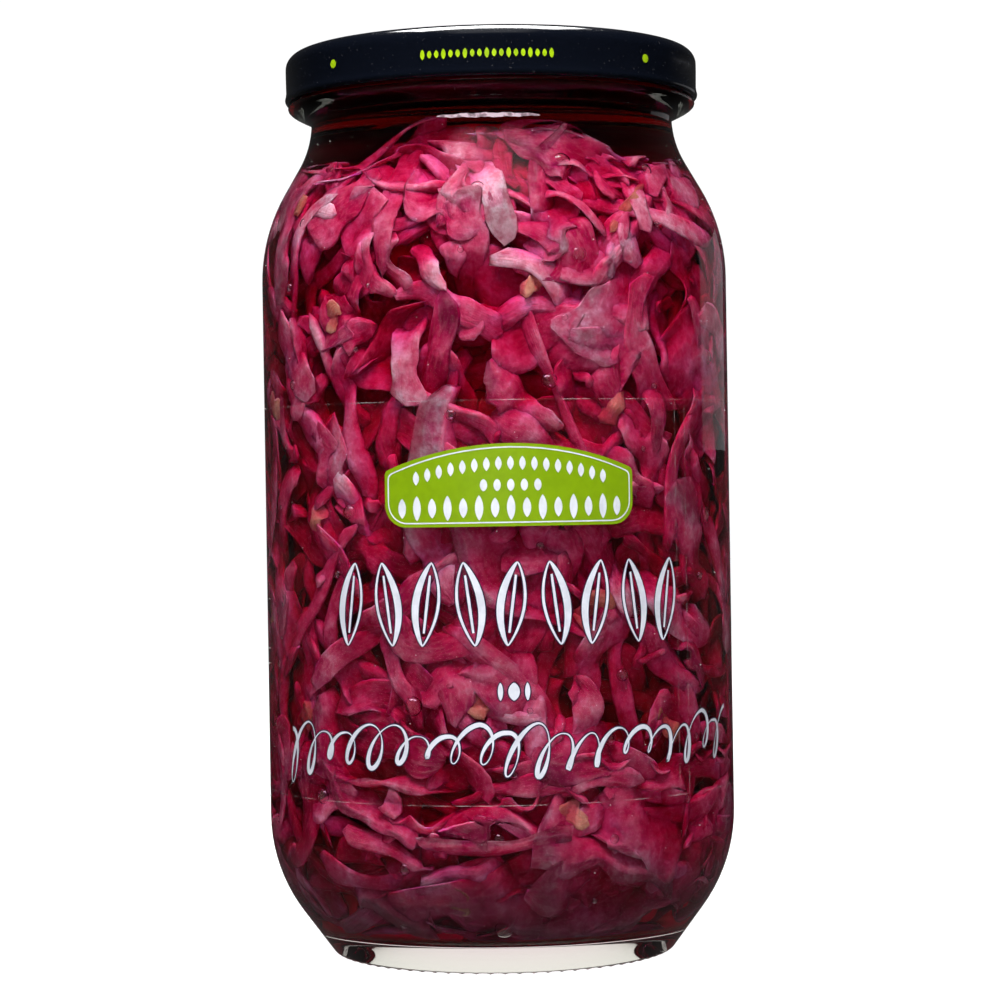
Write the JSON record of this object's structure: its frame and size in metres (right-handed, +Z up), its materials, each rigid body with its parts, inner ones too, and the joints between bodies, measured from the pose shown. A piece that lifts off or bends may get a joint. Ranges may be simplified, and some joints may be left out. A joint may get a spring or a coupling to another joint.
{
  "type": "jar of red cabbage",
  "caption": "Clear glass jar of shredded red cabbage in dark brine, with a black twist-off lid and a clear wrap-round label.",
  "frame": {"origin": "centre of the jar's foot, on the surface it stands on", "axes": "+Z up along the jar's axis, -Y towards the front of the label, +X to the right seen from the front"},
  "size_m": [0.097, 0.097, 0.1852],
  "materials": {
    "jar_glass": "clear, smooth, with a stippled bearing ring",
    "lid": "glossy black lacquer on tinplate",
    "label_film": "clear film with a printed green badge and white marks",
    "cabbage": "wet, translucent shreds, deep magenta with paler veins"
  },
  "bodies": {
    "root": {"jar_glass": "jar_glass", "lid": "lid", "label_film": "label_film", "cabbage": "cabbage"}
  },
  "joints": []
}
